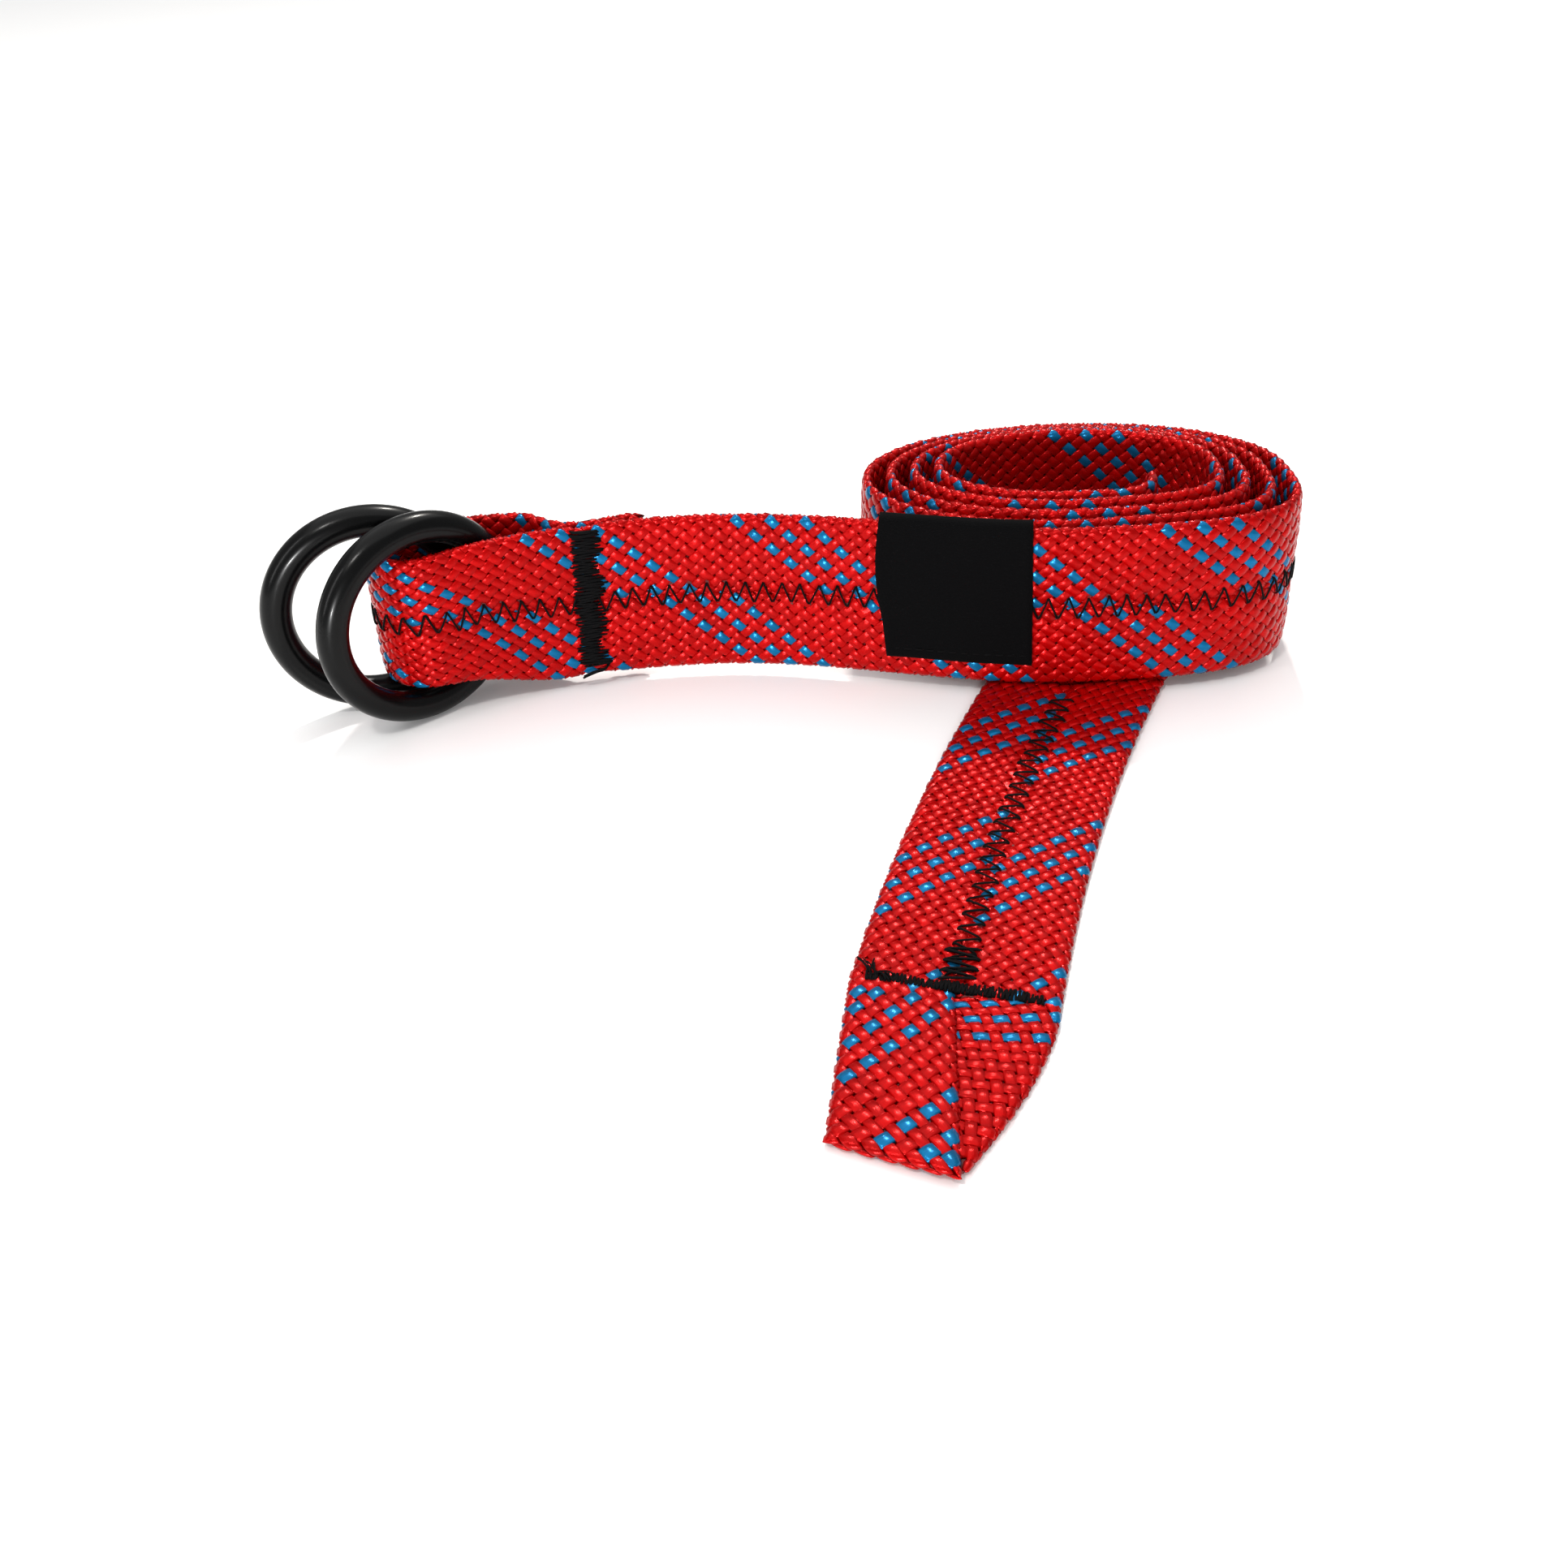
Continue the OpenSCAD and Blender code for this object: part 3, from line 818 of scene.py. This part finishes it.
def cloth_finish(braid):
    """The yarns under the floats: the ground colour darkened to painted deep shade."""
    f = Finish("Under_yarn", Roughness=0.7)
    grain = f.noise(scale=900.0)
    red = f.mix(grain, colour4(braid.red), colour4(braid.red, 0.5))
    # Painted shade: the ground red is scaled down to about a quarter, the shade in the crevices between
    # floats.
    f.feed(Base_Color=f.shade(red, 0.22 + 0.12 * grain))
    f.bump(grain, 0.4, 0.15 * MM)
    return f.material


def thread_finish(stitches):
    """Black sewing thread: two plies twisted together."""
    f = Finish("Thread", Roughness=0.6, Specular_IOR_Level=0.05)
    twist = f.node("ShaderNodeUVMap", {"uv_map": "Twist"})
    turned = f.node("ShaderNodeMapping", None, {"Vector": twist, "Rotation": (0, 0, 0.7)})
    plies = f.bands(turned, "X", 1.1, 0.6, 2.0)
    f.feed(Base_Color=f.mix(plies, colour4(stitches.black), colour4(stitches.black, 2.2)))
    f.bump(plies, 0.6, 0.06 * MM)
    return f.material


def label_finish(label):
    """Black satin ribbon: fine weft ribs crossed by finer warp, with a faint fuzz."""
    f = Finish("Label_ribbon", Specular_IOR_Level=0.03, Sheen_Weight=0.01)
    weave = f.node("ShaderNodeUVMap", {"uv_map": "Weave"})
    ribs, warp = f.bands(weave, "Y", 1.3, 0.5, 1.0), f.bands(weave, "X", 2.1, 0.8, 1.0)
    fuzz = f.noise(weave, 3.5, 6.0)
    f.feed(Base_Color=f.mix(fuzz, colour4(label.black, 0.5), colour4(label.black, 1.9)),
           Roughness=0.75 + 0.2 * fuzz)
    f.bump(ribs * 0.6 + warp * 0.4 + fuzz * 0.5, 0.5, 0.08 * MM)
    return f.material


def ring_finish():
    """Glossy black enamel with a slight unevenness and fine rubbed marks."""
    f = Finish("Ring_black", Base_Color=(0.0014, 0.0015, 0.0016, 1), Specular_IOR_Level=0.12,
               Coat_Weight=0.05, Coat_Roughness=0.12)
    cloud, marks = f.noise(scale=120.0, detail=4.0), f.noise(scale=900.0)
    f.feed(Roughness=0.2 + 0.12 * cloud)
    f.bump(cloud + marks * 0.15, 0.05, 0.1 * MM)
    return f.material


def floor_finish(stage):
    f = Finish("Floor", Roughness=0.6, Specular_IOR_Level=0.2)
    f.feed(Base_Color=f.mix(f.noise(scale=40.0), colour4(stage.floor), colour4(stage.floor, 0.99)))
    return f.material


# ---- The tip ----

def tip_at(along_tip, side, z):
    way = heading(TAIL_BEND + TIP_TURN)
    p = tail_point(TAIL_LEN, 0.0)[:2] + along_tip[:, None] * way + side[:, None] * left_of(way)
    return np.concatenate([p, (z + 0 * along_tip)[:, None]], 1)


def tip_left_tube(section):
    """The sheath's left side past the tack, up to the slanting fold at its end."""
    t = np.linspace(0, 1, round(TIP_LEN * 0.93 / STEP))
    left = tip_at(t * (TIP_LEN - TIP_SHORT), -MID_W + 0 * t, HALF_T + 0 * t)
    ridge = tip_at(t * TIP_LEN, RIDGE_LEAN * t + SEAM_LAP, HALF_T + TIP_RISE * ease(t * 6))
    left[:, :2] += (tail_point(TAIL_LEN, -MID_W)[:2] - left[0, :2]) * (1 - t)[:, None] ** 2
    return Tube(left + EDGE_INSET * unit(ridge - left), ridge, CLOTH_HALF_T, section, end_round=END_ROUND)


def tip_right_tube(section):
    """The sheath folded back: it slants in under the left side, and its outer edge bows in to the point."""
    t = np.linspace(0, 1, 200)
    side = RIDGE_LEAN * t + MID_W * (1 - t**1.5) - EDGE_INSET
    edge = tip_at(t * TIP_LEN, side, HALF_T - 0.25 * MM * ease(t * 4))
    edge = evened(edge, distances(edge))
    inward = np.cross(unit(np.gradient(edge, axis=0)), [0, 0, 1])
    narrowed = 1 - 0.8 * ease((np.arange(len(edge)) / len(edge) - 0.8) / 0.2)[:, None]
    inner = edge + inward * MID_W * narrowed - np.array([0, 0, 0.35 * MM])
    return Tube(inner, edge, CLOTH_HALF_T * 0.85, section, closes=3 * MM)


def patch(braid, s_max, reach, turned):
    """Spots of a braid that lies turned on its tube, within reach of the tube's high edge."""
    pitch = braid.lead / braid.yarns
    step = 2 * reach / braid.yarns
    found = []
    for way, shift in ((1, 0), (-1, 0.5)):
        i, j = np.meshgrid(*[np.arange(-PATCH_REACH, PATCH_REACH + 1)] * 2, indexing="ij")
        a, b = (i + shift) * pitch, (j + shift) * step
        s = a * math.cos(turned) - b * math.sin(turned) + s_max / 2
        arc = a * math.sin(turned) + b * math.cos(turned)
        dyed = np.isin(i + j, TIP_ROWS) if way < 0 else np.zeros(i.shape, bool)
        yarn = (j - way * i) % braid.yarns + (way < 0) * braid.yarns
        kept = (s > 0.3 * MM) & (s < s_max - POINT_TRIM) & (np.abs(arc) < 0.97 * reach)
        found.append([x[kept] for x in (s, arc, np.full(i.shape, way), dyed, yarn)])
    return [np.concatenate(x) for x in zip(*found)]


# ---- Pieces ----

class BELT_OT_sheath(bpy.types.Operator):
    """Make the standing part of the strap: its cloth and the floats of its braid"""

    bl_idname = "belt.sheath"
    bl_label = "Sheath"

    def execute(self, context):
        braid, stitches = context.scene.belt_braid, context.scene.belt_stitches
        strap = Strap()
        halves = sheath_halves(strap)
        yarn, under = yarn_finish(braid), cloth_finish(braid)
        at = {"end": 0, "run": strap.at["tack"], "": strap.joined, **strap.at}
        coil = [f"coil_{turn + 1}" for turn in range(TURNS)]
        parts = ["end", "loop", "run", *coil, "bend", "twist", "tail_root", ""]
        made = []
        for half, (tube, lays) in enumerate(zip(halves, LAYS)):
            press = needle_press(stitches, half, tube)
            for part, after in zip(parts, parts[1:]):
                node = part + (("_left", "_right") if part == "tail_root" else ("_lower", "_upper"))[half]
                lay = lays[at[part] >= at["bend"]]
                spots = lattice(braid, tube.section.around, at[part], at[after], lay)
                floats = braided(node + "_yarns", tube, braid, spots, yarn, len(made), press=press)
                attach(floats, "root")
                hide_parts(node)
                made.append(floats)
        cloth = joined("sheath_cloth", [cloth_tube(f"cloth_{k}", tube, 0, strap.joined, under)
                                        for k, tube in enumerate(halves)])
        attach(cloth, "root")
        return {"FINISHED"}


class BELT_OT_tail(bpy.types.Operator):
    """Make the loose tail and its folded tip, which bend up from the strap under the coil"""

    bl_idname = "belt.tail"
    bl_label = "Tail"

    def execute(self, context):
        braid, stitches = context.scene.belt_braid, context.scene.belt_stitches
        strap = Strap()
        halves = sheath_halves(strap)
        yarn, under = bpy.data.materials["Yarn"], bpy.data.materials["Under_yarn"]
        joint, tip = strap.joined, strap.at["tip"]
        for half, (tube, lays) in enumerate(zip(halves, LAYS)):
            node = ("tail_left", "tail_right")[half]
            press = needle_press(stitches, half, tube)
            spots = lattice(braid, tube.section.around, joint, tip, lays[1])
            floats = braided(node + "_yarns", tube, braid, spots, yarn, 50 + half, press=press)
            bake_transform(floats)
            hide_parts(node)
        cloth = joined("tail_cloth", [cloth_tube(f"tail_cloth_{k}", tube, joint, tip, under)
                                      for k, tube in enumerate(halves)])
        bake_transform(cloth)
        self.fold_tip(braid, tip, yarn, under)
        return {"FINISHED"}

    def fold_tip(self, braid, start, yarn, under):
        section = Section(MID_W / 2, CLOTH_HALF_T)
        left, right = tip_left_tube(section), tip_right_tube(section)
        left_len, right_len = (left.count - 1) * STEP, (right.count - 1) * STEP
        turned = math.radians(TIP_BRAID_TURN)
        end = start + left_len + 0.4 * END_ROUND
        spots = lattice(braid, section.around, start, end, TIP_LAY, TIP_MARKERS)
        spots[0] = spots[0] - start
        left_yarns = braided("tip_left_yarns", left, braid, spots, yarn, 60)
        spots = patch(braid, right_len, section.around / 2, turned)
        right_yarns = braided("tip_right_yarns", right, braid, spots, yarn, 61, turned=turned)
        tubes = ((left, left_len), (right, right_len - POINT_CLOTH_TRIM))
        cloth = joined("tip_cloth", [cloth_tube(f"tip_cloth_{k}", tube, 0, end, under)
                                     for k, (tube, end) in enumerate(tubes)])
        for piece in (left_yarns, right_yarns, cloth):
            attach(piece, "tail")
        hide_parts("tip_left")
        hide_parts("tip_right")


class BELT_OT_seam(bpy.types.Operator):
    """Make the zigzag seam that joins the two sheaths, on the strap's outer and inner face"""

    bl_idname = "belt.seam"
    bl_label = "Seam"

    def execute(self, context):
        stitches = context.scene.belt_stitches
        strap = Strap()
        thread = thread_finish(stitches)
        rng = np.random.default_rng(3)
        pair = 2 * stitches.pitch

        def from_pair(s):
            return pair + math.ceil((s - pair) / pair) * pair

        def sewn(name, s0, s1, rise, seed, face=1, pitch=stitches.pitch, height=stitches.height):
            ends = zigzag(pitch, height, s0, s1, rng)
            heights = np.full(len(ends), rise)
            return stitched(name, strap, ends, heights, stitches.thread / 2, thread, seed, face=face)

        outer = sewn("outer_seam", pair, strap.at["twist"], SEAM_RISE, 4)
        inner = sewn("inner_seam", from_pair(strap.at["tack"]), strap.at["bend"], SEAM_RISE, 5, face=-1)
        seam = joined("seam_thread_stitches", [outer, inner])
        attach(seam, "root")
        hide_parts("seam_thread")
        tail_from, tail_to = from_pair(strap.joined), strap.at["tip"] - SEAM_END_GAP
        sides = [sewn(f"tail_seam_{face}", tail_from, tail_to, rise, 6, face=face)
                 for face, rise in ((1, SEAM_RISE), (-1, UNDER_RISE))]
        dense = {"pitch": 0.62 * stitches.pitch, "height": 1.4 * stitches.height}
        for k, rise in enumerate((SEAM_RISE, SEAM_RISE + 0.2 * MM)):
            sides.append(sewn(f"tail_seam_dense_{k}", tail_to - DENSE_LEN, tail_to, rise, 7 + k, **dense))
        tail_seam = joined("tail_seam_stitches", sides)
        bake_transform(tail_seam)
        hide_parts("tail_seam_thread")
        return {"FINISHED"}


class BELT_OT_tacks(bpy.types.Operator):
    """Make the bar tacks at the rings and at the tip, with their loose ends of thread"""

    bl_idname = "belt.tacks"
    bl_label = "Bar tacks"

    def execute(self, context):
        stitches = context.scene.belt_stitches
        strap = Strap()
        thread = bpy.data.materials["Thread"]
        rng = np.random.default_rng(11)
        radius = stitches.thread * 0.55
        parts = []
        for k, place in enumerate(("tack", "end_tack")):
            slant = RING_TACK_SLANT if k else -RING_TACK_SLANT
            ends, rise = bar_tack(RING_TACK_W, RING_TACK_PITCH, strap.at[place], *RING_TACK_SPAN, slant, rng)
            heights = CLOTH_HALF_T + 0.25 * MM + rise
            parts.append(stitched(f"tack_{k}", strap, ends, heights, radius, thread, 12 + k,
                                  dive=0.7 * MM, bow=6))
        lying = lambda s, w, n: strap.place(*(np.array([v * MM]) for v in (s, w, n)))[0]
        tack, tip = strap.at["tack"] / MM, strap.at["tip"] / MM
        tails = [[lying(tack + s, w, n) for s, w, n in line] for line in TACK_TAILS]
        parts.append(loose_ends("tack_end", tails, radius, thread))
        ring_tack = joined("ring_tack_stitches", parts)
        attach(ring_tack, "root")
        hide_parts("ring_tack")
        middle = strap.at["tip"] - 1.2 * MM
        ends, rise = bar_tack(TIP_TACK_W, TIP_TACK_PITCH, middle, *TIP_TACK_SPAN, 0.0, rng)
        heights = CLOTH_HALF_T + rise + 0.1 * MM
        bar = stitched("tip_bar", strap, ends, heights, radius, thread, 15, dive=0.8 * MM, bow=6)
        hairs = []
        for _ in range(FRAYS):
            s, w = tip - 1.5 + rng.uniform(-0.6, 0.6), -14 + rng.uniform(-0.6, 1.6)
            turn, reach = rng.uniform(-2.2, 2.2), rng.uniform(2.2, 4.2)
            side = reach * math.sin(turn)
            bent = lying(s - reach * 0.5 * math.cos(turn * 0.5), w - 0.4 * side, 2.2)
            hairs.append([lying(s, w, 1.3), bent, lying(s - reach * math.cos(turn), w - 0.9 * side, 1.8)])
        frays = loose_ends("tip_frays", hairs, radius * 0.6, thread)
        tip_tack = joined("tip_tack_stitches", [bar, frays])
        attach(tip_tack, "tail")
        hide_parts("tip_tack")
        return {"FINISHED"}


class BELT_OT_label(bpy.types.Operator):
    """Make the bare woven label that is folded over the strap's top edge, and its row of stitches"""

    bl_idname = "belt.label"
    bl_label = "Label"

    def execute(self, context):
        label = context.scene.belt_label
        strap = Strap()
        out = HALF_T + 0.35 * MM
        top = MID_W - 0.6 * MM
        foot = MID_W - label.height
        arc = np.radians(np.linspace(0, 180, 24))
        w = np.concatenate([[foot], top + 1.9 * MM * np.sin(arc), [foot]])
        n = np.concatenate([[out], out * np.cos(arc), [-out]])
        run = np.concatenate([[0], np.cumsum(np.hypot(np.diff(w), np.diff(n)))])
        width, length = label.width, float(run[-1])
        bm = bmesh.new()
        bmesh.ops.create_grid(bm, x_segments=24, y_segments=64, size=0.5)
        x = np.array([v.co.x for v in bm.verts])
        t = np.array([0.5 - v.co.y for v in bm.verts])
        even_w, even_n = np.interp(t * run[-1], run, w), np.interp(t * run[-1], run, n)
        down = np.clip((MID_W - even_w) / label.height, 0, 1)
        front = np.clip(even_n / out, 0, 1)
        left = (LABEL_LEAN * down**2 - LABEL_BULGE * np.sin(np.pi * np.clip(down * 1.35, 0, 1))) * front
        s = strap.at["label"] - LABEL_SHIFT + x * width + left * (0.5 - x) + LABEL_SPREAD * down * (x + 0.5)
        ripple = 0.18 * MM * np.sin(9 * x + 4 * down) * np.sin(5 * down + 1) * front
        flare = 0.35 * MM * np.abs(2 * x) ** 6 * front
        for v, p in zip(bm.verts, strap.place(s, even_w, even_n + ripple + flare)):
            v.co = p
        layer = bm.loops.layers.uv.new("Weave")
        bm.verts.index_update()
        for corner in (corner for face in bm.faces for corner in face.loops):
            k = corner.vert.index
            corner[layer].uv = (x[k] * width / MM, t[k] * length / MM)
        bmesh.ops.recalc_face_normals(bm, faces=bm.faces)
        bmesh.ops.solidify(bm, geom=bm.faces[:], thickness=label.thickness)
        bmesh.ops.recalc_face_normals(bm, faces=bm.faces)
        ribbon = linked(made_mesh("label_ribbon", bm), label_finish(label))
        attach(ribbon, "root")
        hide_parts("label")
        s = strap.at["label"] + np.arange(-width / 2 + 2 * MM, width / 2 - 1.5 * MM, ROW_GAP)
        w = np.full(len(s), foot + 2 * MM)
        ends = np.stack([s, w, s + 0.75 * ROW_GAP, w + 0.1 * MM], 1)
        row = stitched("label_stitch_row", strap, ends, np.full(len(s), out + 0.35 * MM), 0.17 * MM,
                       bpy.data.materials["Thread"], 21, dive=0.35 * MM, bow=4)
        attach(row, "root")
        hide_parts("label_stitch")
        return {"FINISHED"}


class BELT_OT_rings(bpy.types.Operator):
    """Give the two rings their glossy black"""

    bl_idname = "belt.rings"
    bl_label = "Rings"

    def execute(self, context):
        black = ring_finish()
        for name in ("front_ring", "rear_ring"):
            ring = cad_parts[name]
            ring.data.materials.clear()
            ring.data.materials.append(black)
        return {"FINISHED"}


class BELT_OT_stage(bpy.types.Operator):
    """Make the floor, the lights and the camera"""

    bl_idname = "belt.stage"
    bl_label = "Stage"

    def execute(self, context):
        stage = context.scene.belt_stage
        bm = bmesh.new()
        bmesh.ops.create_grid(bm, x_segments=1, y_segments=1, size=FLOOR_HALF)
        floor = linked(made_mesh("Floor", bm), floor_finish(stage))
        for name, place, size, power, colour in LIGHTS:
            light = bpy.data.lights.new(name, "AREA")
            light.shape, light.size, light.size_y = "RECTANGLE", *size
            light.energy, light.color = power, colour
            obj = bpy.data.objects.new(name, light)
            obj.location = place
            obj.rotation_euler = (AIM_AT - Vector(place)).to_track_quat("-Z", "Y").to_euler()
            bpy.context.scene.collection.objects.link(obj)
        world = bpy.data.worlds.new("Studio")
        world.use_nodes = True
        light = world.node_tree.nodes["Background"].inputs
        light["Color"].default_value, light["Strength"].default_value = (1, 1, 1, 1), WORLD_LIGHT
        context.scene.world = world
        context.scene.view_settings.view_transform = "Standard"
        lens = bpy.data.cameras.new("Camera")
        lens.lens, lens.sensor_width = LENS, SENSOR
        lens.clip_start, lens.clip_end = 0.01, 20
        camera = bpy.data.objects.new("Camera", lens)
        camera.location = CAMERA_AT
        camera.rotation_euler = (Matrix.Rotation(math.pi / 2 - stage.pitch, 4, "X")
                                 @ Matrix.Rotation(stage.roll, 4, "Z")).to_euler()
        context.scene.collection.objects.link(camera)
        context.scene.camera = camera
        return {"FINISHED"}


class BELT_PT_panel(bpy.types.Panel):
    """The belt's pieces and their settings"""

    bl_idname = "BELT_PT_panel"
    bl_label = "Ring belt"
    bl_space_type = "VIEW_3D"
    bl_region_type = "UI"
    bl_category = "Ring belt"

    def draw(self, context):
        for group in ("belt_braid", "belt_stitches", "belt_label", "belt_stage"):
            settings = getattr(context.scene, group)
            box = self.layout.box()
            for name in settings.__annotations__:
                box.prop(settings, name)
        for operator in OPERATORS:
            self.layout.operator(operator.bl_idname)


OPERATORS = (BELT_OT_stage, BELT_OT_sheath, BELT_OT_tail, BELT_OT_seam, BELT_OT_tacks, BELT_OT_label,
             BELT_OT_rings)
GROUPS = {"belt_braid": BraidSettings, "belt_stitches": StitchSettings, "belt_label": LabelSettings,
          "belt_stage": StageSettings}


def register():
    for group in GROUPS.values():
        bpy.utils.register_class(group)
    for name, group in GROUPS.items():
        setattr(bpy.types.Scene, name, PointerProperty(type=group))
    for made in (*OPERATORS, BELT_PT_panel):
        bpy.utils.register_class(made)


def unregister():
    for made in (BELT_PT_panel, *reversed(OPERATORS)):
        bpy.utils.unregister_class(made)
    for name, group in GROUPS.items():
        delattr(bpy.types.Scene, name)
        bpy.utils.unregister_class(group)


def main():
    register()
    for operator in OPERATORS:
        getattr(bpy.ops.belt, operator.bl_idname.split(".")[1])()


if __name__ == "__main__":
    main()
